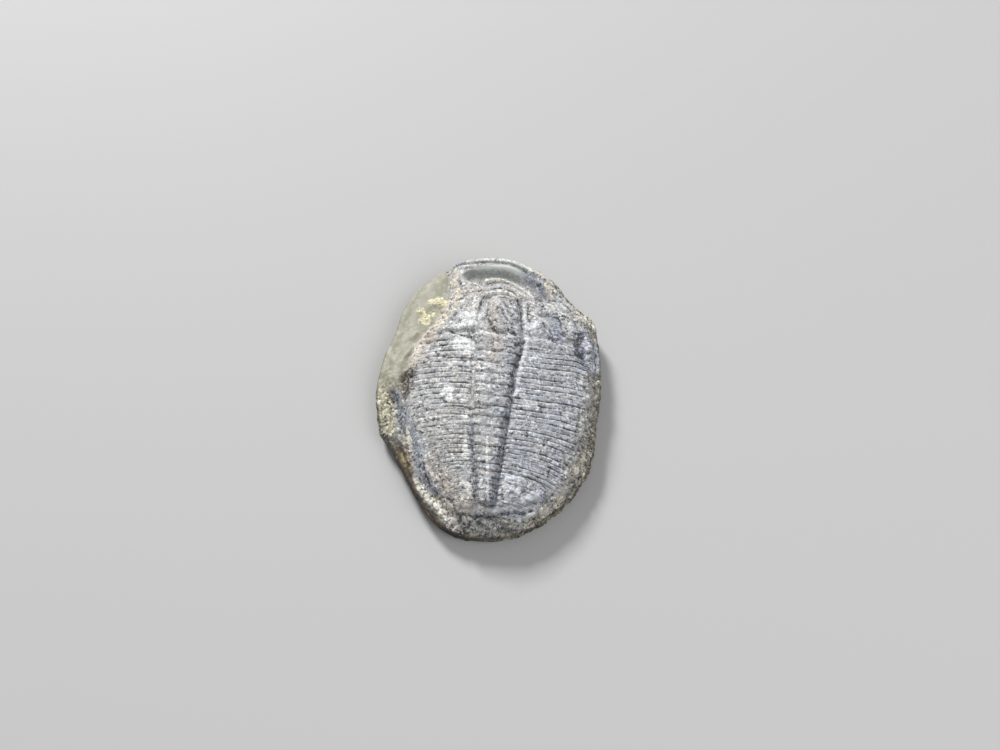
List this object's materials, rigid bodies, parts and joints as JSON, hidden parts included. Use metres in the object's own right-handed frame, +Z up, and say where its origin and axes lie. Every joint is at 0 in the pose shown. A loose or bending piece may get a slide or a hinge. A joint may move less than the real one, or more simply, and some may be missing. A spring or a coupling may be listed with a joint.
{
  "type": "trilobite fossil",
  "caption": "Trilobite fossil lying back up on its oval grey limestone matrix, which is flat below and rests on a table or shelf.",
  "frame": {"origin": "middle of the flat base, below the centre of the stone's outline", "axes": "+Z up, out of the fossil's face; +Y along the animal's midline, towards its head; +X to the right seen from above"},
  "size_m": [0.0195, 0.0258, 0.005],
  "materials": {
    "stone": "matte"
  },
  "bodies": {
    "root": {"trilobite_fossil": "stone"}
  },
  "joints": []
}
